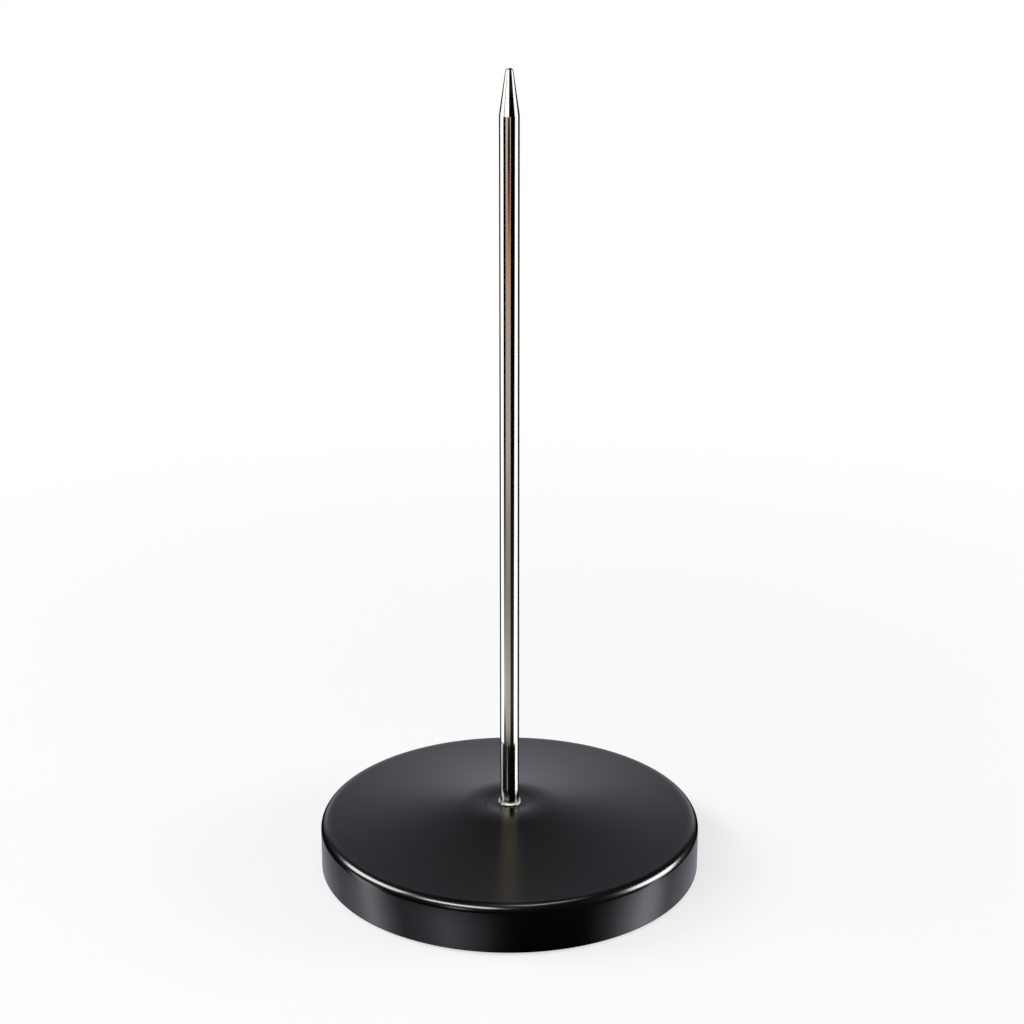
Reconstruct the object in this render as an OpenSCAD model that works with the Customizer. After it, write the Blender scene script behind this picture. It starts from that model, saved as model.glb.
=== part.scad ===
// Bill spike: a plated steel spike, held by a nut in a round weighted base.
// Millimetres, +Z up. The origin is on the table, at the middle of the base.

/* [Base cover] */
// Outer diameter of the base
base_d = 80; // [60:1:110]
// Height of the rim above the table
base_h = 10.9; // [10:0.1:16]
// Thickness of the drawn steel sheet
sheet_t = 1; // [0.6:0.1:1.5]
// Outer radius of the bend at the rim
rim_r = 1.9; // [1.7:0.1:4]
// Slope of the crown beside the rim, in degrees
crown_rim_slope = 2.6; // [1:0.1:5]
// Slope of the crown beside the crest, in degrees
crown_top_slope = 8.6; // [5.2:0.1:10]
// Radius of the crest that runs round the dish
crest_r = 24; // [6:1:30]
// Slope of the dish where it leaves the crest, in degrees
dish_slope = 5; // [2:0.5:10]
// Radius that eases the dish into the flat seat
dish_r = 22; // [4:1:30]
// Width of flat seat that shows round the collar
seat_margin = 0.3; // [0.1:0.1:2]
// Rounding of the sheet's cut edge, at the foot of the wall
cut_edge_r = 0.25; // [0.1:0.05:0.3]

/* [Spike] */
// Height of the tip above the table
overall_h = 166.9; // [120:0.1:220]
// Diameter of the shaft
spike_d = 4; // [3.6:0.1:6]
// Length of the ground taper, with its tip
taper_l = 8.8; // [4:0.1:16]
// Diameter of the blunt tip
tip_d = 1.5; // [0.6:0.1:2.4]
// Height of the rounding on the tip
tip_dome = 0.3; // [0.1:0.05:0.7]
// Radius that eases the shaft into the taper
taper_blend_r = 2; // [1:0.5:20]
// Bevel on the shaft's foot, inside the collar
foot_bevel = 0.15; // [0.05:0.05:0.15]
// Diameter of the threaded tail
thread_d = 3; // [2:0.1:3]
// Length of tail that shows past the nut
thread_end = 0.8; // [0.4:0.1:1.5]
// Chamfer on the end of the tail
thread_chamfer = 0.4; // [0.2:0.05:0.6]

/* [Foot collar] */
// Height of the collar
collar_h = 0.45; // [0.45:0.05:1]
// Thickness of the floor that the spike's shoulder stands on
collar_floor = 0.2; // [0.1:0.05:0.2]
// Thickness of the lip round the shaft
collar_wall = 0.42; // [0.3:0.02:0.5]

/* [Ballast weight] */
// Chamfer round the lower edge of the weight
ballast_chamfer = 1; // [0.4:0.1:2]

/* [Fasteners] */
// Width of the nut across its flats
nut_af = 5.5; // [5:0.1:7]
// Height of the nut
nut_h = 2.4; // [1.8:0.1:3]
// How far the nut's round end faces lie inside its flats
nut_face_inset = 0.25; // [0.1:0.05:0.5]
// Outer diameter of the flat washer
washer_d = 7; // [6:0.1:9]
// Thickness of the flat washer
washer_t = 0.5; // [0.3:0.1:1]
// Outer diameter of the split spring washer
lock_d = 6.2; // [5:0.1:7]
// Thickness of the split spring washer
lock_t = 0.8; // [0.5:0.1:1.2]
// Width of the split
lock_split = 0.7; // [0.4:0.1:1.2]
// Lean of the split, in degrees
lock_lean = 25; // [10:1:40]

/* [Base pad] */
// Thickness of the felt disc
pad_t = 2; // [1.2:0.1:3]
// How far the felt stands below the cover's wall
pad_proud = 0.5; // [0.2:0.1:1]

/* [Clearances] */
// Gap between the shaft and the collar's lip
collar_gap = 0.08; // [0.03:0.01:0.2]
// Gap between the thread and the holes in sheet metal
hole_gap = 0.1; // [0.05:0.01:0.3]
// Gap between the thread and the nut
thread_gap = 0.05; // [0.02:0.01:0.1]
// Gap between the thread and the cast bore of the weight
bore_gap = 0.2; // [0.1:0.05:0.6]
// Gap between the weight and the cover's wall
ballast_gap = 0.4; // [0.2:0.1:1.5]
// Gap between the washers or the nut and the socket in the weight
socket_gap = 0.6; // [0.3:0.1:2]
// Gap between the end of the tail and the felt
tail_gap = 0.3; // [0.1:0.1:1]
// Gap between the felt and the cover's wall
pad_gap = 0.6; // [0.2:0.1:3]

/* [Hidden] */
$fn = 96;

// Steps along each curved stretch of a profile
bend_steps = 12;
crown_steps = 8;
crest_steps = 6;
dish_steps = 4;
edge_steps = 4;
blend_steps = 4;
tip_steps = 6;
lip_steps = 8;

// Unit vector at an angle in the profile plane
function polar(a) = [cos(a), sin(a)];

// Points along an arc, after its first point
function arc(c, r, a0, a1, steps) =
    [for (i = [1:steps]) c + r * polar(a0 + (a1 - a0) * i / steps)];

function reversed(points) = [for (i = [len(points) - 1:-1:0]) points[i]];

base_r = base_d / 2;
spike_r = spike_d / 2;
thread_r = thread_d / 2;
collar_r = spike_r + collar_gap + collar_wall;
seat_r = collar_r + seat_margin;

// The top of the cover is four arcs that run into each other. Radii are found from the seat outwards.
crest_in_r = seat_r + dish_r * sin(dish_slope);
crest_mid_r = crest_in_r + crest_r * sin(dish_slope);
crest_out_r = crest_mid_r + crest_r * sin(crown_top_slope);
bend_mid_r = base_r - rim_r;
bend_in_r = bend_mid_r + rim_r * sin(crown_rim_slope);
crown_r = (bend_in_r - crest_out_r) / (sin(crown_top_slope) - sin(crown_rim_slope));

// Centres of those arcs, with heights found from the rim inwards
bend_c = [bend_mid_r, base_h - rim_r];
crown_c = bend_c + (rim_r + crown_r) * polar(90 - crown_rim_slope);
crest_c = crown_c - (crown_r + crest_r) * polar(90 - crown_top_slope);
dish_c = crest_c + (crest_r + dish_r) * polar(90 + dish_slope);
seat_z = dish_c.y - dish_r;
seat_under_z = seat_z - sheet_t;

// The spike's shoulder stands on the collar's floor, below its lip
shoulder_z = seat_z + collar_floor;
collar_top_z = seat_z + collar_h;

// The fasteners fill a socket in the weight, from its roof down
socket_r = max(washer_d, lock_d, nut_af / cos(30)) / 2 + socket_gap;
tail_z = pad_t + tail_gap;
nut_z = tail_z + thread_end;
lock_z = nut_z + nut_h;
washer_z = lock_z + lock_t;
socket_z = washer_z + washer_t;

// Surface of the cover from the rim's bend to the seat, set back from the outside by t
function cover_surface(t) = concat(
    arc(bend_c, rim_r - t, 0, 90 - crown_rim_slope, bend_steps),
    arc(crown_c, crown_r + t, 270 - crown_rim_slope, 270 - crown_top_slope, crown_steps),
    arc(crest_c, crest_r - t, 90 - crown_top_slope, 90 + dish_slope, crest_steps),
    arc(dish_c, dish_r + t, 270 + dish_slope, 270, dish_steps));

// A flat ring that stands on height z
module ring(r_out, r_in, z, h) {
    translate([0, 0, z])
        linear_extrude(h)
            difference() {
                circle(r_out);
                circle(r_in);
            }
}

// Drawn sheet-steel cover, painted black: wall, rounded rim, low crown and a dish for the collar
module base_cover() {
    hole_r = thread_r + hole_gap;
    wall_r = base_r - sheet_t;
    edge_z = pad_proud + cut_edge_r;
    color("#1b1c1e")
        rotate_extrude()
            polygon(concat(
                [[base_r - cut_edge_r, pad_proud]],
                arc([base_r - cut_edge_r, edge_z], cut_edge_r, -90, 0, edge_steps),
                [[base_r, bend_c.y]],
                cover_surface(0),
                [[hole_r, seat_z], [hole_r, seat_under_z]],
                reversed(cover_surface(sheet_t)),
                [[wall_r, bend_c.y], [wall_r, edge_z]],
                arc([wall_r + cut_edge_r, edge_z], cut_edge_r, 180, 270, edge_steps)));
}

// Cast-iron weight that touches the cover under its seat, and falls away from it further out
module ballast_weight() {
    bore_r = thread_r + bore_gap;
    ballast_r = base_r - sheet_t - ballast_gap;
    top_r = ballast_r - rim_r;
    top_z = seat_under_z - (top_r - seat_r) * tan(crown_top_slope);
    color("#4a4a4c")
        rotate_extrude()
            polygon([
                [bore_r, seat_under_z],
                [seat_r, seat_under_z],
                [top_r, top_z],
                [ballast_r, top_z - rim_r],
                [ballast_r, pad_t + ballast_chamfer],
                [ballast_r - ballast_chamfer, pad_t],
                [socket_r, pad_t],
                [socket_r, socket_z],
                [bore_r, socket_z]]);
}

// Round steel spike, plated bright: blunt ground taper, plain shaft, shoulder and threaded tail
module spike() {
    tip_r = tip_d / 2;
    taper_end_z = overall_h - tip_dome;
    corner_z = overall_h - taper_l;
    taper_angle = atan((spike_r - tip_r) / (taper_end_z - corner_z));
    blend_z = corner_z - taper_blend_r * tan(taper_angle / 2);
    color("#d9dadc")
        rotate_extrude()
            polygon(concat(
                [
                    [0, tail_z],
                    [thread_r - thread_chamfer, tail_z],
                    [thread_r, tail_z + thread_chamfer],
                    [thread_r, shoulder_z],
                    [spike_r - foot_bevel, shoulder_z],
                    [spike_r, collar_top_z],
                    [spike_r, blend_z]],
                arc([spike_r - taper_blend_r, blend_z], taper_blend_r, 0, taper_angle, blend_steps),
                [[tip_r, taper_end_z]],
                [for (i = [1:tip_steps])
                    let (a = 90 * i / tip_steps)
                        [tip_r * cos(a), taper_end_z + tip_dome * sin(a)]]));
}

// Small plated cup on the seat, with a round lip that shows as a bright ring
module foot_collar() {
    lip_r = collar_wall / 2;
    lip_c = [collar_r - lip_r, collar_top_z - lip_r];
    recess_r = collar_r - collar_wall;
    hole_r = thread_r + hole_gap;
    color("#d9dadc")
        rotate_extrude()
            polygon(concat(
                [[hole_r, seat_z], [collar_r, seat_z], [collar_r, lip_c.y]],
                arc(lip_c, lip_r, 0, 180, lip_steps),
                [[recess_r, shoulder_z], [hole_r, shoulder_z]]));
}

// Plain washer against the roof of the socket
module flat_washer() {
    color("#b9bcbf")
        ring(washer_d / 2, thread_r + hole_gap, washer_z, washer_t);
}

// Split spring washer, pressed flat by the nut
module lock_washer() {
    color("#8f9296")
        difference() {
            ring(lock_d / 2, thread_r + hole_gap, lock_z, lock_t);
            translate([lock_d / 2, 0, lock_z + lock_t / 2])
                rotate([lock_lean, 0, 0])
                    cube([lock_d, lock_split, 4 * lock_t], center = true);
        }
}

// Hexagon nut, with its corners turned off at both ends
module hex_nut() {
    corner_r = nut_af / 2 / cos(30);
    face_r = nut_af / 2 - nut_face_inset;
    corner_drop = (corner_r - face_r) * tan(30);
    color("#b9bcbf")
        difference() {
            intersection() {
                translate([0, 0, nut_z])
                    cylinder(r = corner_r, h = nut_h, $fn = 6);
                rotate_extrude()
                    polygon([
                        [0, nut_z],
                        [face_r, nut_z],
                        [corner_r, nut_z + corner_drop],
                        [corner_r, lock_z - corner_drop],
                        [face_r, lock_z],
                        [0, lock_z]]);
            }
            translate([0, 0, nut_z - nut_h])
                cylinder(r = thread_r + thread_gap, h = 3 * nut_h);
        }
}

// Felt disc, glued under the weight
module base_pad() {
    color("#2a2a2c")
        cylinder(r = base_r - sheet_t - pad_gap, h = pad_t);
}

base_cover();
ballast_weight();
spike();
foot_collar();
flat_washer();
lock_washer();
hex_nut();
base_pad();
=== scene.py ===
import math

import bmesh
import bpy
from mathutils import Matrix, Vector


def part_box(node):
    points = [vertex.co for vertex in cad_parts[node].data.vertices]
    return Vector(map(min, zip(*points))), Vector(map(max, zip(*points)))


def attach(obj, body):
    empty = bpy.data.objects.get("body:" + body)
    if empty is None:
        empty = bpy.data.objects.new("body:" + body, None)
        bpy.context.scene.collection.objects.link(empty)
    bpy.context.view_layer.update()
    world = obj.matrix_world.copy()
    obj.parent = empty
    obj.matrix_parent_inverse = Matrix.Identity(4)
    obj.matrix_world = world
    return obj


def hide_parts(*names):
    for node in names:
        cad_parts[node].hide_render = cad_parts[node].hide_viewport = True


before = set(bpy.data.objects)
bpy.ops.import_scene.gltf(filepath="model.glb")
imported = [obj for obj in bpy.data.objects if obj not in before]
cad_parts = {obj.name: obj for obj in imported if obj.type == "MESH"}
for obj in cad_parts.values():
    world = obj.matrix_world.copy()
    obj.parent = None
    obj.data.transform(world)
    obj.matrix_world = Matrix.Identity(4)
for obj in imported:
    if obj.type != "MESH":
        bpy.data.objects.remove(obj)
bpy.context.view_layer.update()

MM = 0.001

# Sizes of the drawn cover, in metres, and its slopes in degrees. Its width and height come from the frame.
SHEET_T = 1.0 * MM
RIM_R = 1.9 * MM
RIM_H = 10.9 * MM
CREST_R = 24.0 * MM
DISH_R = 22.0 * MM
SEAT_MARGIN = 0.3 * MM
CUT_EDGE_R = 0.25 * MM
CROWN_RIM_SLOPE = 2.6
CROWN_TOP_SLOPE = 8.6
DISH_SLOPE = 5.0

# Steps along the cover's arcs, fine enough for smooth reflections
CUT_STEPS = 5
BEND_STEPS = 20
CROWN_STEPS = 28
CREST_STEPS = 14
DISH_STEPS = 8

# Sizes of the spike and of the cup at its foot. The cup's lip turns in by LIP_TURN degrees.
TAPER_L = 8.8 * MM
TIP_R = 0.75 * MM
TIP_DOME = 0.3 * MM
TAPER_BLEND_R = 2.0 * MM
FOOT_BEVEL = 0.15 * MM
THREAD_R = 1.5 * MM
THREAD_CHAMFER = 0.4 * MM
HOLE_R = 1.6 * MM
COLLAR_WALL = 0.42 * MM
COLLAR_FLOOR = 0.2 * MM
LIP_R = 0.15 * MM
LIP_SLOPE_W = 0.2 * MM
LIP_TURN = 40

FELT_EDGE_R = 0.3 * MM

# Edges that turn by more than this many degrees are shaded as sharp
SHARP_ANGLE = 25

# The camera that took the photograph, found by fitting the base's rim and the spike's axis
PHOTO_PX = 1024
FOCAL_PX = 2082
SENSOR_MM = 36.0
CAMERA_DISTANCE = 421.6 * MM
CAMERA_ELEVATION = 18.38
AIM = Vector((0.506, 0.0, 78.4)) * MM

# The lamps stand this far from the base. White cards are a little brighter than the page.
LAMP_DISTANCE = 0.9
WHITE = 1.4
BLACK = 0.0


def linear(hex_code):
    """An sRGB hex colour as the linear RGBA that a shader takes."""
    channels = [int(hex_code[i:i + 2], 16) / 255 for i in (1, 3, 5)]
    return [c / 12.92 if c <= 0.04045 else ((c + 0.055) / 1.055) ** 2.4 for c in channels] + [1.0]


def grey(level):
    """A neutral brightness as RGBA."""
    return (level, level, level, 1.0)


def cool(level):
    """A grey with a little blue, as white paper has in the shade."""
    return (0.96 * level, level, 1.1 * level, 1.0)


def add(tree, kind, inputs=None, stops=None, **settings):
    """Adds a node with its settings, its socket values or links, and its ramp stops."""
    node = tree.nodes.new("ShaderNode" + kind)
    for name, value in settings.items():
        setattr(node, name, value)
    for name, value in (inputs or {}).items():
        if isinstance(value, bpy.types.NodeSocket):
            tree.links.new(value, node.inputs[name])
        else:
            node.inputs[name].default_value = value
    for i, (place, colour) in enumerate(stops or []):
        ramp = node.color_ramp.elements
        stop = ramp[i] if i < 2 else ramp.new(place)
        stop.position = place
        stop.color = colour
    return node


def new_material(name):
    """A material and its node tree, with nothing in it yet."""
    material = bpy.data.materials.new(name)
    material.use_nodes = True
    material.node_tree.nodes.clear()
    return material, material.node_tree


def satin_black_enamel():
    """Stoved black enamel, sprayed on sheet steel: a satin gloss with a faint orange-peel swell.

    Hands have polished the rim and the wall, where the base is picked up, and the bills its middle.
    """
    peel_mm, grain_mm, haze_mm = 1.8, 0.35, 16.0
    peel_h_mm, grain_h_mm = 0.003, 0.001
    worn_r_mm, dull_r_mm, top_r_mm, rim_r_mm = 10.0, 28.0, 37.6, 38.8
    top_gloss, rim_gloss, dull_by = 0.42, 1.0, 0.03
    material, tree = new_material("satin_black_enamel")
    place = add(tree, "TexCoord").outputs["Object"]
    haze = add(tree, "TexNoise", {"Vector": place, "Scale": 1 / (haze_mm * MM), "Detail": 3.0})
    peel = add(tree, "TexNoise", {"Vector": place, "Scale": 1 / (peel_mm * MM), "Detail": 1.0})
    grain = add(tree, "TexNoise", {"Vector": place, "Scale": 1 / (grain_mm * MM), "Detail": 2.0})
    colour = add(tree, "ValToRGB", {"Fac": haze.outputs["Fac"]},
                 [(0.3, linear("#030304")), (0.7, linear("#050506"))])
    cloudy = add(tree, "MapRange", {"Value": haze.outputs["Fac"], "From Min": 0.3, "From Max": 0.7,
                                    "To Min": 0.19, "To Max": 0.22})

    parts = add(tree, "SeparateXYZ", {"Vector": place}).outputs
    flat = add(tree, "CombineXYZ", {"X": parts["X"], "Y": parts["Y"]})
    away = add(tree, "VectorMath", {0: flat.outputs["Vector"]}, operation="LENGTH").outputs["Value"]
    polish = add(tree, "MapRange", {"Value": away, "From Min": top_r_mm * MM, "From Max": rim_r_mm * MM,
                                    "To Min": top_gloss, "To Max": rim_gloss})
    across = add(tree, "MapRange", {"Value": away, "From Max": rim_r_mm * MM})
    dull = add(tree, "ValToRGB", {"Fac": across.outputs["Result"]},
               [(worn_r_mm / rim_r_mm, grey(0.0)), (dull_r_mm / rim_r_mm, grey(1.0)),
                (top_r_mm / rim_r_mm, grey(1.0)), (1.0, grey(0.0))])
    rough = add(tree, "Math", {0: dull.outputs["Color"], 1: dull_by, 2: cloudy.outputs["Result"]},
                operation="MULTIPLY_ADD")

    swell = add(tree, "Bump", {"Height": peel.outputs["Fac"], "Strength": 0.5,
                               "Distance": peel_h_mm * MM})
    tooth = add(tree, "Bump", {"Height": grain.outputs["Fac"], "Strength": 0.5,
                               "Distance": grain_h_mm * MM, "Normal": swell.outputs["Normal"]})
    paint = add(tree, "BsdfPrincipled", {"Base Color": colour.outputs["Color"],
                                         "Roughness": rough.outputs["Value"], "IOR": 1.55,
                                         "Specular IOR Level": polish.outputs["Result"],
                                         "Normal": tooth.outputs["Normal"]})
    add(tree, "OutputMaterial", {"Surface": paint.outputs["BSDF"]})
    return material


def bright_nickel_plate():
    """Polished nickel on drawn steel wire: a clear mirror with faint lines along the wire."""
    line_mm, line_l_mm = 0.25, 30.0
    return nickel_plate("bright_nickel_plate", (line_mm, line_mm, line_l_mm), 0.03, 0.09)


def satin_nickel_plate():
    """The same nickel on a turned cup that wasn't polished: fine tool marks spread its highlights."""
    mark_mm, mark_h_mm = 0.4, 0.06
    return nickel_plate("satin_nickel_plate", (mark_mm, mark_mm, mark_h_mm), 0.1, 0.16)


def nickel_plate(name, grain_mm, smooth, rough):
    """Warm white metal whose gloss and relief follow a grain of the given size along X, Y and Z."""
    ridge_h_mm = 0.0005
    material, tree = new_material(name)
    place = add(tree, "TexCoord").outputs["Object"]
    along = add(tree, "Mapping", {"Vector": place, "Scale": [1 / (size * MM) for size in grain_mm]})
    lines = add(tree, "TexNoise", {"Vector": along.outputs["Vector"], "Scale": 1.0, "Detail": 2.0})
    gloss = add(tree, "MapRange", {"Value": lines.outputs["Fac"], "From Min": 0.3, "From Max": 0.7,
                                   "To Min": smooth, "To Max": rough})
    ridges = add(tree, "Bump", {"Height": lines.outputs["Fac"], "Strength": 0.3,
                                "Distance": ridge_h_mm * MM})
    plate = add(tree, "BsdfPrincipled", {"Base Color": linear("#e4e2de"), "Metallic": 1.0,
                                         "Roughness": gloss.outputs["Result"],
                                         "Normal": ridges.outputs["Normal"]})
    add(tree, "OutputMaterial", {"Surface": plate.outputs["BSDF"]})
    return material


def pressed_wool_felt():
    """Grey-black felt, pressed from matted wool: fibres in every direction, and a dull nap."""
    fibre_mm, clump_mm = 0.25, 3.0
    fibre_h_mm, clump_h_mm = 0.08, 0.1
    material, tree = new_material("pressed_wool_felt")
    place = add(tree, "TexCoord").outputs["Object"]
    clumps = add(tree, "TexNoise", {"Vector": place, "Scale": 1 / (clump_mm * MM), "Detail": 3.0})
    fibres = add(tree, "TexNoise", {"Vector": place, "Scale": 1 / (fibre_mm * MM), "Detail": 4.0,
                                    "Distortion": 2.0})
    colour = add(tree, "ValToRGB", {"Fac": fibres.outputs["Fac"]},
                 [(0.3, linear("#17171a")), (0.7, linear("#2e2e33"))])
    nap = add(tree, "Bump", {"Height": fibres.outputs["Fac"], "Strength": 0.8,
                             "Distance": fibre_h_mm * MM})
    lumps = add(tree, "Bump", {"Height": clumps.outputs["Fac"], "Strength": 0.5,
                               "Distance": clump_h_mm * MM, "Normal": nap.outputs["Normal"]})
    felt = add(tree, "BsdfPrincipled", {"Base Color": colour.outputs["Color"], "Roughness": 0.95,
                                        "Sheen Weight": 0.3, "Normal": lumps.outputs["Normal"]})
    add(tree, "OutputMaterial", {"Surface": felt.outputs["BSDF"]})
    return material


def grey_cast_iron():
    """Grey iron as it leaves the sand: a dull skin, pitted like the mould."""
    sand_mm, patch_mm, pit_mm = 0.5, 8.0, 0.1
    material, tree = new_material("grey_cast_iron")
    place = add(tree, "TexCoord").outputs["Object"]
    sand = add(tree, "TexNoise", {"Vector": place, "Scale": 1 / (sand_mm * MM), "Detail": 3.0})
    patch = add(tree, "TexNoise", {"Vector": place, "Scale": 1 / (patch_mm * MM), "Detail": 4.0})
    colour = add(tree, "ValToRGB", {"Fac": patch.outputs["Fac"]},
                 [(0.35, linear("#3a3a3b")), (0.7, linear("#57534f"))])
    skin = add(tree, "Bump", {"Height": sand.outputs["Fac"], "Strength": 0.7, "Distance": pit_mm * MM})
    iron = add(tree, "BsdfPrincipled", {"Base Color": colour.outputs["Color"], "Metallic": 1.0,
                                        "Roughness": 0.62, "Normal": skin.outputs["Normal"]})
    add(tree, "OutputMaterial", {"Surface": iron.outputs["BSDF"]})
    return material


def zinc_plated_steel():
    """Turned steel fasteners with a thin zinc plate: bluish grey, with fine tool marks."""
    mark_mm, bloom_mm = 0.12, 1.5
    material, tree = new_material("zinc_plated_steel")
    place = add(tree, "TexCoord").outputs["Object"]
    marks = add(tree, "TexNoise", {"Vector": place, "Scale": 1 / (mark_mm * MM), "Detail": 2.0})
    bloom = add(tree, "TexNoise", {"Vector": place, "Scale": 1 / (bloom_mm * MM), "Detail": 3.0})
    colour = add(tree, "ValToRGB", {"Fac": bloom.outputs["Fac"]},
                 [(0.3, linear("#a9adb2")), (0.7, linear("#c3c6c9"))])
    rough = add(tree, "MapRange", {"Value": marks.outputs["Fac"], "To Min": 0.24, "To Max": 0.42})
    zinc = add(tree, "BsdfPrincipled", {"Base Color": colour.outputs["Color"], "Metallic": 1.0,
                                        "Roughness": rough.outputs["Result"]})
    add(tree, "OutputMaterial", {"Surface": zinc.outputs["BSDF"]})
    return material


def start_profile(radius, height):
    """A bmesh with the first point of a profile in the XZ plane."""
    bm = bmesh.new()
    return bm, bm.verts.new((radius, 0.0, height))


def line_to(bm, end, radius, height):
    """Runs the profile straight on from its end to a point."""
    end = bmesh.ops.extrude_vert_indiv(bm, verts=[end])["verts"][0]
    end.co = (radius, 0.0, height)
    return end


def arc_on(bm, end, centre, degrees, steps):
    """Runs the profile on along an arc about a centre, anticlockwise seen with Z up and X to the right."""
    made = bmesh.ops.spin(bm, geom=[end], cent=(centre[0], 0.0, centre[1]), axis=(0.0, -1.0, 0.0),
                          angle=math.radians(degrees), steps=steps)
    return next(v for v in made["geom_last"] if isinstance(v, bmesh.types.BMVert))


def polar(degrees, radius):
    """A step in the profile plane, by angle and length."""
    a = math.radians(degrees)
    return Vector((math.cos(a), math.sin(a))) * radius


def turned(bm, name, material, node, steps):
    """Turns a profile round Z into a closed piece, and puts it in the frame in place of a CAD node."""
    bmesh.ops.spin(bm, geom=bm.verts[:] + bm.edges[:], cent=(0, 0, 0), axis=(0, 0, 1),
                   angle=math.tau, steps=steps, use_merge=True)
    bmesh.ops.remove_doubles(bm, verts=bm.verts[:], dist=0.001 * MM)
    bmesh.ops.recalc_face_normals(bm, faces=bm.faces[:])
    piece = placed(bm, name, material)
    piece.data.shade_smooth()
    piece.data.set_sharp_from_angle(angle=math.radians(SHARP_ANGLE))
    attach(piece, "root")
    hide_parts(node)
    return piece


def placed(bm, name, material):
    """Makes an object of a bmesh, at the origin, and links it to the scene."""
    mesh = bpy.data.meshes.new(name)
    bm.to_mesh(mesh)
    bm.free()
    mesh.materials.append(material)
    thing = bpy.data.objects.new(name, mesh)
    bpy.context.scene.collection.objects.link(thing)
    return thing


def drawn_cover(material):
    """The painted cover: wall, rounded rim, low crown, crest and dish, in one sheet of even thickness."""
    low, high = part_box("base_cover")
    base_r, foot_z = high.x, low.z
    seat_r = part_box("foot_collar")[1].x + SEAT_MARGIN
    slopes = (DISH_SLOPE, CROWN_TOP_SLOPE, CROWN_RIM_SLOPE)
    dish_sin, top_sin, rim_sin = (math.sin(math.radians(slope)) for slope in slopes)

    # The crown's radius joins the crest to the rim's bend without a kink
    crest_in = seat_r + DISH_R * dish_sin
    crest_out = crest_in + CREST_R * (dish_sin + top_sin)
    bend_mid = base_r - RIM_R
    bend_in = bend_mid + RIM_R * rim_sin
    crown_r = (bend_in - crest_out) / (top_sin - rim_sin)

    bend_c = Vector((bend_mid, RIM_H - RIM_R))
    crown_c = bend_c + polar(90 - CROWN_RIM_SLOPE, RIM_R + crown_r)
    crest_c = crown_c - polar(90 - CROWN_TOP_SLOPE, crown_r + CREST_R)
    dish_c = crest_c + polar(90 + DISH_SLOPE, CREST_R + DISH_R)
    seat_z = dish_c.y - DISH_R
    under_z = seat_z - SHEET_T
    wall_r = base_r - SHEET_T
    edge_z = foot_z + CUT_EDGE_R

    # Up the outside from the cut edge to the hole for the spike, and back along the inside
    bm, end = start_profile(base_r - CUT_EDGE_R, foot_z)
    first = end
    end = arc_on(bm, end, (base_r - CUT_EDGE_R, edge_z), 90, CUT_STEPS)
    end = line_to(bm, end, base_r, bend_c.y)
    end = arc_on(bm, end, bend_c, 90 - CROWN_RIM_SLOPE, BEND_STEPS)
    end = arc_on(bm, end, crown_c, CROWN_RIM_SLOPE - CROWN_TOP_SLOPE, CROWN_STEPS)
    end = arc_on(bm, end, crest_c, CROWN_TOP_SLOPE + DISH_SLOPE, CREST_STEPS)
    end = arc_on(bm, end, dish_c, -DISH_SLOPE, DISH_STEPS)
    end = line_to(bm, end, HOLE_R, seat_z)
    end = line_to(bm, end, HOLE_R, under_z)
    end = line_to(bm, end, seat_r, under_z)
    end = arc_on(bm, end, dish_c, DISH_SLOPE, DISH_STEPS)
    end = arc_on(bm, end, crest_c, -CROWN_TOP_SLOPE - DISH_SLOPE, CREST_STEPS)
    end = arc_on(bm, end, crown_c, CROWN_TOP_SLOPE - CROWN_RIM_SLOPE, CROWN_STEPS)
    end = arc_on(bm, end, bend_c, CROWN_RIM_SLOPE - 90, BEND_STEPS)
    end = line_to(bm, end, wall_r, edge_z)
    end = arc_on(bm, end, (wall_r + CUT_EDGE_R, edge_z), 90, CUT_STEPS)
    bm.edges.new((end, first))
    return turned(bm, "cover_shell", material, "base_cover", steps=256)


def plated_spike(material):
    """The spike: threaded tail, shoulder, straight shaft and a blunt ground taper."""
    low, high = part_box("spike")
    collar_lo, collar_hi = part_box("foot_collar")
    shaft_r = high.x
    shoulder_z = collar_lo.z + COLLAR_FLOOR
    corner_z = high.z - TAPER_L
    taper_end_z = high.z - TIP_DOME
    lean = math.degrees(math.atan((shaft_r - TIP_R) / (taper_end_z - corner_z)))
    blend_z = corner_z - TAPER_BLEND_R * math.tan(math.radians(lean / 2))
    dome_r = (TIP_R ** 2 + TIP_DOME ** 2) / (2 * TIP_DOME)
    dome_sweep = math.degrees(math.asin(TIP_R / dome_r))

    bm, end = start_profile(0.0, low.z)
    end = line_to(bm, end, THREAD_R - THREAD_CHAMFER, low.z)
    end = line_to(bm, end, THREAD_R, low.z + THREAD_CHAMFER)
    end = line_to(bm, end, THREAD_R, shoulder_z)
    end = line_to(bm, end, shaft_r - FOOT_BEVEL, shoulder_z)
    end = line_to(bm, end, shaft_r, collar_hi.z)
    end = line_to(bm, end, shaft_r, blend_z - TAPER_BLEND_R / 8)
    end = line_to(bm, end, shaft_r, blend_z)
    end = arc_on(bm, end, (shaft_r - TAPER_BLEND_R, blend_z), lean, steps=8)
    end = line_to(bm, end, TIP_R, taper_end_z)
    arc_on(bm, end, (0.0, high.z - dome_r), dome_sweep, steps=8)
    return turned(bm, "spike_wire", material, "spike", steps=128)


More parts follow.
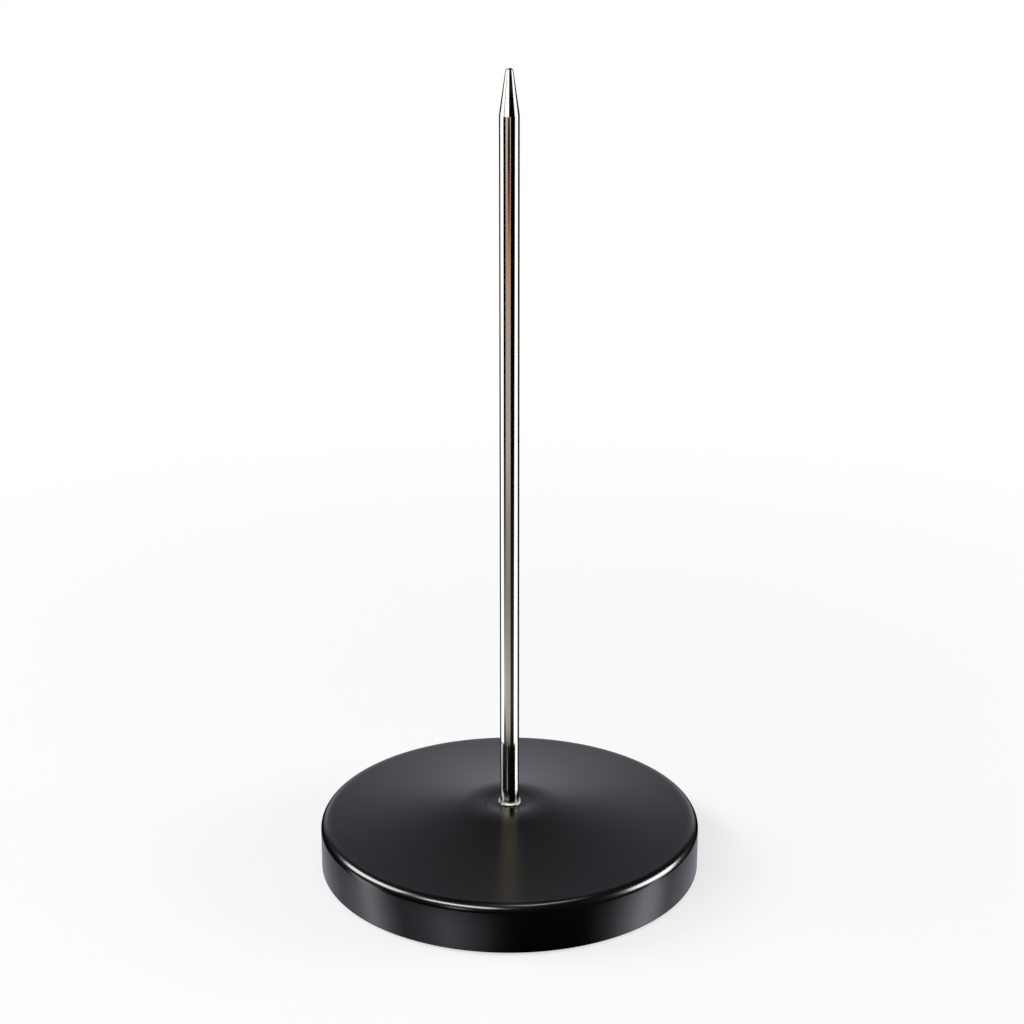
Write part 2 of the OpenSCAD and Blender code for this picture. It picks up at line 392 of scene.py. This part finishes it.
def plated_collar(material):
    """The small cup under the spike's shoulder, with a sloped lip that shows as a bright ring."""
    low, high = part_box("foot_collar")
    floor_z = low.z + COLLAR_FLOOR
    slope_h = LIP_SLOPE_W / math.tan(math.radians(LIP_TURN))
    lip_c = Vector((high.x - LIP_R, high.z - slope_h - polar(LIP_TURN, LIP_R).y))

    bm, end = start_profile(HOLE_R, low.z)
    first = end
    end = line_to(bm, end, high.x, low.z)
    end = line_to(bm, end, high.x, lip_c.y)
    end = arc_on(bm, end, lip_c, LIP_TURN, steps=6)
    end = line_to(bm, end, end.co.x - LIP_SLOPE_W, high.z)
    end = line_to(bm, end, high.x - COLLAR_WALL, floor_z)
    end = line_to(bm, end, HOLE_R, floor_z)
    bm.edges.new((end, first))
    return turned(bm, "collar_ring", material, "foot_collar", steps=128)


def felt_disc(material):
    """The felt under the base, cut with a slightly rounded edge."""
    low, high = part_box("base_pad")
    edge_x = high.x - FELT_EDGE_R
    bm, end = start_profile(0.0, low.z)
    end = line_to(bm, end, edge_x, low.z)
    end = arc_on(bm, end, (edge_x, low.z + FELT_EDGE_R), 90, steps=5)
    end = line_to(bm, end, high.x, high.z - FELT_EDGE_R)
    end = arc_on(bm, end, (edge_x, high.z - FELT_EDGE_R), 90, steps=5)
    line_to(bm, end, 0.0, high.z)
    piece = turned(bm, "felt_disc", material, "base_pad", steps=192)


def dress_inner_pieces(iron, zinc):
    """Finishes for the pieces inside the base, whose shapes stay as they are."""
    for node, material in (("ballast_weight", iron), ("flat_washer", zinc), ("lock_washer", zinc),
                           ("hex_nut", zinc)):
        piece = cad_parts[node]
        piece.data.materials.clear()
        piece.data.materials.append(material)


def direction(azimuth, elevation):
    """Unit vector from the object; azimuth 0 is towards the camera and turns to its right."""
    a, e = math.radians(azimuth), math.radians(elevation)
    return Vector((math.sin(a) * math.cos(e), -math.cos(a) * math.cos(e), math.sin(e)))


def make_camera():
    """The camera at the photograph's place, angle and lens."""
    data = bpy.data.cameras.new("camera")
    data.sensor_width = SENSOR_MM
    data.lens = SENSOR_MM * FOCAL_PX / PHOTO_PX
    camera = bpy.data.objects.new("camera", data)
    camera.location = AIM + direction(0, CAMERA_ELEVATION) * CAMERA_DISTANCE
    camera.rotation_euler = (AIM - camera.location).to_track_quat("-Z", "Y").to_euler()
    bpy.context.scene.collection.objects.link(camera)
    bpy.context.scene.camera = camera


def softbox(name, azimuth, elevation, width, height, radiance, tilt=0):
    """A rectangular studio lamp that faces the base, turned in its own plane by its tilt.

    Its power is four times its area times its radiance.
    """
    data = bpy.data.lights.new(name, "AREA")
    data.shape = "RECTANGLE"
    data.size = width
    data.size_y = height
    data.energy = 4 * width * height * radiance
    lamp = bpy.data.objects.new(name, data)
    way = direction(azimuth, elevation)
    lamp.location = way * LAMP_DISTANCE
    facing = (-way).to_track_quat("-Z", "Y").to_matrix()
    lamp.rotation_euler = (facing @ Matrix.Rotation(math.radians(tilt), 3, "Z")).to_euler()
    lamp.visible_camera = False
    bpy.context.scene.collection.objects.link(lamp)
    return lamp


def flag(sources, pieces, state):
    """Flags lamps or cards off some pieces (EXCLUDE), or off everything but those (INCLUDE)."""
    for source in sources:
        flagged = bpy.data.collections.new(source.name + "_flag")
        for piece in pieces:
            flagged.objects.link(piece)
        for member in flagged.collection_objects:
            member.light_linking.link_state = state
        source.light_linking.receiver_collection = flagged


def hung(bm, name, material):
    """Makes a card that only reflections see."""
    card = placed(bm, name, material)
    card.visible_camera = False
    card.visible_diffuse = False
    card.visible_transmission = False
    card.visible_shadow = False
    return card


def plain_card(name, colour):
    """The material of a card of one colour."""
    material, tree = new_material(name)
    glow = add(tree, "Emission", {"Color": colour})
    add(tree, "OutputMaterial", {"Surface": glow.outputs["Emission"]})
    return material


def shaded_card(name, tone, stops, across):
    """The material of a card whose tone changes with height, or with azimuth across it.

    The stops are tones at heights in metres or at azimuths in degrees.
    """
    first, last = stops[0][0], stops[-1][0]
    ramp = [((place - first) / (last - first), tone(value)) for place, value in stops]
    material, tree = new_material(name)
    place = add(tree, "TexCoord").outputs["Object"]
    parts = add(tree, "SeparateXYZ", {"Vector": place}).outputs
    along = parts["Z"]
    if across:
        to_camera = add(tree, "Math", {0: parts["Y"], 1: -1.0}, operation="MULTIPLY").outputs["Value"]
        turn = add(tree, "Math", {0: parts["X"], 1: to_camera}, operation="ARCTAN2").outputs["Value"]
        along = add(tree, "Math", {0: turn}, operation="DEGREES").outputs["Value"]
    share = add(tree, "MapRange", {"Value": along, "From Min": first, "From Max": last})
    shade = add(tree, "ValToRGB", {"Fac": share.outputs["Result"]}, ramp)
    glow = add(tree, "Emission", {"Color": shade.outputs["Color"]})
    add(tree, "OutputMaterial", {"Surface": glow.outputs["Emission"]})
    return material


def studio_card(name, azimuths, heights, tone=grey, level=None, stops=None, across=False,
                distance=1.0, lean=0):
    """A curved card round the object, of one level or with stops along it.

    Its top edge is turned to the right of its lower edge by its lean, in degrees.
    """
    low, high = heights
    material = shaded_card(name, tone, stops, across) if stops else plain_card(name, tone(level))
    start = direction(azimuths[0], 0) * distance
    bm = bmesh.new()
    foot = bm.verts.new((start.x, start.y, low))
    head = bm.verts.new((start.x, start.y, high))
    edge = bm.edges.new((foot, head))
    bmesh.ops.spin(bm, geom=[foot, head, edge], cent=(0, 0, 0), axis=(0, 0, 1),
                   angle=math.radians(azimuths[1] - azimuths[0]), steps=48)
    for v in bm.verts:
        v.co.rotate(Matrix.Rotation(math.radians(lean) * (v.co.z - low) / (high - low), 3, "Z"))
    return hung(bm, name, material)


def floor_card():
    """A pale disc under the object, which the plating mirrors when it is seen from above."""
    level, radius, height = 0.6, 1.1, -0.9
    bm = bmesh.new()
    bmesh.ops.create_circle(bm, cap_ends=True, radius=radius, segments=64,
                            matrix=Matrix.Translation((0.0, 0.0, height)))
    return hung(bm, "floor_card", plain_card("floor_card", grey(level)))


def make_floor():
    """A pale floor that runs out into white, and keeps the object's soft shadow."""
    floor_r, lit_r, white_r, white_share = 3.0, 0.05, 0.35, 0.65
    material, tree = new_material("pale_floor")
    place = add(tree, "TexCoord").outputs["Object"]
    away = add(tree, "VectorMath", {0: place}, operation="LENGTH").outputs["Value"]
    fade = add(tree, "MapRange", {"Value": away, "From Min": lit_r, "From Max": white_r,
                                  "To Min": white_share, "To Max": 1.0}, interpolation_type="SMOOTHSTEP")
    camera_ray = add(tree, "LightPath").outputs["Is Camera Ray"]
    share = add(tree, "Math", {0: fade.outputs["Result"], 1: camera_ray}, operation="MULTIPLY")
    paper = add(tree, "BsdfDiffuse", {"Color": grey(0.8)})
    white = add(tree, "Emission", {"Color": grey(1.0)})
    mix = add(tree, "MixShader", {"Fac": share.outputs["Value"], 1: paper.outputs["BSDF"],
                                  2: white.outputs["Emission"]})
    add(tree, "OutputMaterial", {"Surface": mix.outputs["Shader"]})

    bm = bmesh.new()
    bmesh.ops.create_circle(bm, cap_ends=True, radius=floor_r, segments=64)
    floor = placed(bm, "floor", material)
    floor.visible_glossy = False


def make_world():
    """White behind the object. Reflections see a white sweep behind it that darkens with height."""
    levels = [(-1, 0.0), (3, 0.636), (6, 0.75), (12, 0.725), (16, 0.68), (20, 0.604), (22, 0.475),
              (24, 0.388), (26, 0.318), (29, 0.262), (32, 0.238), (34.5, 0.216), (36.5, 0.184),
              (40, 0.158), (46, 0.14), (64, 0.06)]
    sweep_stops = [((direction(0, elevation).z + 1) / 2, cool(level)) for elevation, level in levels]
    half_w, fade_to = math.radians(24), math.radians(42)
    room, fill_level = 0.01, 0.15

    world = bpy.data.worlds.new("studio")
    world.use_nodes = True
    bpy.context.scene.world = world
    tree = world.node_tree
    tree.nodes.clear()
    rays = add(tree, "LightPath").outputs
    way = add(tree, "TexCoord").outputs["Generated"]
    parts = add(tree, "SeparateXYZ", {"Vector": way}).outputs
    up = add(tree, "MapRange", {"Value": parts["Z"], "From Min": -1.0, "From Max": 1.0})
    sweep = add(tree, "ValToRGB", {"Fac": up.outputs["Result"]}, sweep_stops)
    turn = add(tree, "Math", {0: parts["X"], 1: parts["Y"]}, operation="ARCTAN2").outputs["Value"]
    aside = add(tree, "Math", {0: turn}, operation="ABSOLUTE").outputs["Value"]
    behind = add(tree, "MapRange", {"Value": aside, "From Min": fade_to, "From Max": half_w})
    backdrop = add(tree, "Mix", {"Factor": behind.outputs["Result"], "A": grey(room),
                                 "B": sweep.outputs["Color"]}, data_type="RGBA")
    mirrored = add(tree, "Math", {0: rays["Is Glossy Ray"], 1: rays["Is Transmission Ray"]},
                   operation="MAXIMUM")
    fill = add(tree, "Mix", {"Factor": mirrored.outputs["Value"], "A": grey(fill_level),
                             "B": backdrop.outputs["Result"]}, data_type="RGBA")
    seen = add(tree, "Mix", {"Factor": rays["Is Camera Ray"], "A": fill.outputs["Result"],
                             "B": grey(1.0)}, data_type="RGBA")
    sky = add(tree, "Background", {"Color": seen.outputs["Result"]})
    add(tree, "OutputWorld", {"Surface": sky.outputs["Background"]})


def light_base(cover, spike, collar):
    """Four softboxes for the highlights on the rim, and the ring of cards that the wall mirrors."""
    flag([softbox("right_softbox", 91.5, 16, 0.56, 0.4, 8.3, tilt=-22),
          softbox("left_softbox", -96, 35.5, 0.6, 0.34, 6.4, tilt=27),
          softbox("front_softbox", -34, 44.5, 0.58, 0.17, 9),
          softbox("top_softbox", 54, 79, 0.34, 0.2, 3.2)], [spike, collar], "EXCLUDE")
    studio_card("wall_ring", (-178, 178), (-0.85, -0.44), tone=cool, across=True, stops=[
        (-178, 0.48), (-152, 0.43), (-120, 0.266), (-104, 0.488), (-92, 1.186), (-80, 0.508), (-68, 0.141),
        (-52, 0.282), (-37, 0.565), (-20, 0.254), (-5, 0.028), (8, 0.0), (48, 0.0), (62, 0.141), (75, 0.65),
        (88, 1.384), (98, 1.105), (110, 0.293), (125, 0.38), (152, 0.42), (178, 0.42)])
    # Mirrored by the plate and then by the spike, this gives the thin grey line above its foot
    flag([studio_card("front_strip_card", (-34, -24), (0.07, 0.4), level=1.7, distance=0.9)],
         [cover], "INCLUDE")


def light_shaft(spike):
    """Cards for the bands along the shaft: white beside a grey and brown middle, black between them."""
    shaft_z, band_z, edge_z = (-0.44, 0.02), (-0.44, 0.04), (-0.44, 0.35)
    studio_card("shaft_ring", (-178, 178), shaft_z, across=True, stops=[
        (-178, BLACK), (-110, BLACK), (-103, WHITE), (-78, WHITE), (-74, BLACK),
        (80, BLACK), (84, WHITE), (98, WHITE), (104, BLACK), (178, BLACK)])
    flag([studio_card("left_edge_card", (-118, -100), edge_z, level=WHITE, distance=0.96),
          studio_card("right_edge_card", (96, 110), edge_z, level=WHITE, distance=0.96),
          studio_card("left_white_card", (-80, -70), shaft_z, level=WHITE, distance=0.99),
          studio_card("right_white_card", (53, 86), shaft_z, level=WHITE, distance=0.99),
          studio_card("left_black_card", (-71, -38), band_z, distance=0.98, stops=[
              (-0.44, BLACK), (-0.41, 0.02), (-0.398, 0.35), (-0.385, 0.68), (-0.33, 0.28), (-0.26, 0.06),
              (-0.2, BLACK), (0.04, BLACK)]),
          studio_card("right_black_card", (5, 51), band_z, distance=0.98, lean=17, stops=[
              (-0.44, BLACK), (-0.41, 0.01), (-0.39, 0.045), (-0.36, 0.03), (-0.3, 0.012), (-0.2, 0.002),
              (0.04, BLACK)]),
          studio_card("front_card", (-47, 9), band_z, tone=linear, distance=0.95, lean=6, stops=[
              (-0.44, "#101010"), (-0.4115, "#1c1b1a"), (-0.398, "#b4b0a6"), (-0.37, "#bab6ac"),
              (-0.3, "#918c87"), (-0.245, "#99948f"), (-0.195, "#b9b3ac"), (-0.108, "#bdaa9c"),
              (-0.05, "#c49a80"), (0.04, "#dcd0c8")]),
          studio_card("brown_card", (-19, 8), (-0.094, 0.04), tone=linear, distance=0.93, stops=[
              (-0.094, "#c0a58f"), (-0.059, "#c4957a"), (-0.024, "#7d4f44"), (0.005, "#2e120a"),
              (0.04, "#2e120a")]),
          # A narrow strip just beside the foot carries the left white line down to the collar
          studio_card("foot_strip_card", (-97, -79), (0.01395, 0.026), distance=0.005, stops=[
              (0.01395, 0.45), (0.018, 0.6), (0.022, 0.7), (0.026, 0.95)])], [spike], "INCLUDE")


def light_taper(spike):
    """Cards for the taper and the tip, which mirror what is higher up."""
    taper_z, near_z, tip_z, rear_z = (0.0, 0.35), (0.115, 0.235), (0.183, 0.6), (0.16, 0.6)
    flag([studio_card("left_taper_card", (-101, -64), taper_z, level=WHITE),
          studio_card("right_taper_card", (58, 97), taper_z, level=WHITE),
          studio_card("taper_white_card", (-56, -4), near_z, level=WHITE, distance=0.36),
          studio_card("taper_black_card", (-4, 64), near_z, level=BLACK, distance=0.36),
          studio_card("tip_card", (-118, 118), tip_z, across=True, distance=0.06, stops=[
              (-118, WHITE), (-6, WHITE), (-2, BLACK), (60, BLACK), (64, WHITE), (118, WHITE)]),
          studio_card("tip_right_card", (112, 180), rear_z, level=BLACK, distance=0.058),
          studio_card("tip_left_card", (180, 248), rear_z, distance=0.058, stops=[
              (0.16, 0.02), (0.18, 0.02), (0.185, 0.5), (0.6, 0.5)])], [spike], "INCLUDE")


def light_plating(spike, collar):
    """Cards above and below. The high one gives the warm streak that the spike throws on the plate."""
    high_card = studio_card("high_card", (-136, 136), (0.36, 1.1), tone=linear, level="#e4d5c2")
    flag([high_card, floor_card()], [spike, collar], "INCLUDE")
    ring_card = studio_card("ring_card", (-136, 136), (0.2, 6.0), level=1.2, distance=1.02)
    flag([ring_card], [collar], "INCLUDE")


make_camera()
cover = drawn_cover(satin_black_enamel())
spike = plated_spike(bright_nickel_plate())
collar = plated_collar(satin_nickel_plate())
felt_disc(pressed_wool_felt())
dress_inner_pieces(grey_cast_iron(), zinc_plated_steel())

make_floor()
make_world()
light_base(cover, spike, collar)
light_shaft(spike)
light_taper(spike)
light_plating(spike, collar)
bpy.context.scene.view_settings.view_transform = "Standard"
